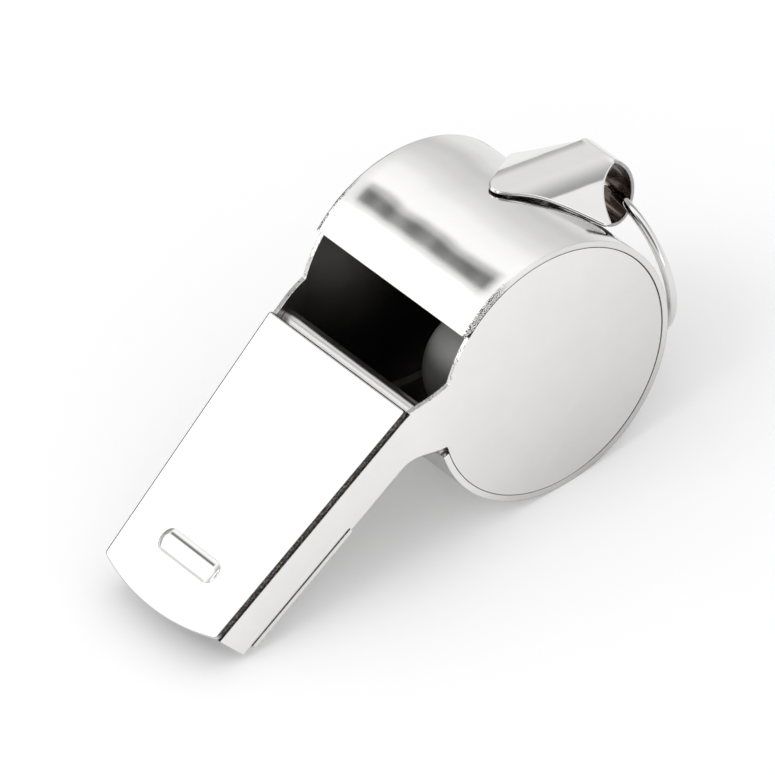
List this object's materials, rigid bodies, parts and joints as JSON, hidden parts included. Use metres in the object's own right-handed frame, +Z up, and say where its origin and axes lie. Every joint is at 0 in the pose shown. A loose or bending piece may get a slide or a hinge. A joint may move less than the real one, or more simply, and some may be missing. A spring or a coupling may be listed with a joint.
{
  "type": "sports whistle",
  "caption": "Bright sheet-metal pea whistle with a flat tapered mouthpiece, a round chamber open at a window, a loose pea, and a wire ring in a soldered lug.",
  "frame": {"origin": "middle of the footprint, on the surface that the whistle lies on", "axes": "+Z up, the mouthpiece points to -X, the barrel's axis runs along Y"},
  "size_m": [0.0474, 0.018, 0.0221],
  "materials": {
    "bright_plate": "bright nickel plate on sheet metal, faintly brushed",
    "ring_wire": "bright drawn wire",
    "pea": "off-white, slightly rough",
    "solder": "dull tin solder"
  },
  "bodies": {
    "whistle": {"barrel_band": "bright_plate", "right_side_plate": "bright_plate", "left_side_plate": "bright_plate", "mouthpiece_top_plate": "bright_plate", "mouthpiece_bottom_plate": "bright_plate", "windway_floor": "bright_plate", "lanyard_lug": "bright_plate", "lug_solder": "solder", "right_barrel_solder": "solder", "left_barrel_solder": "solder", "mouthpiece_solder": "solder"},
    "pea": {"pea": "pea"},
    "ring": {"lanyard_ring": "ring_wire"}
  },
  "joints": [
    {"name": "pea_roll", "type": "hinge", "parent": "whistle", "child": "pea", "pos_m": [0.00929, 0, 0.011], "axis": [0, 1, 0], "continuous": true},
    {"name": "ring_swing", "type": "hinge", "parent": "whistle", "child": "ring", "pos_m": [0.02241, 0, 0.01595], "axis": [0, -1, 0], "range_deg": [-13, 200]}
  ]
}
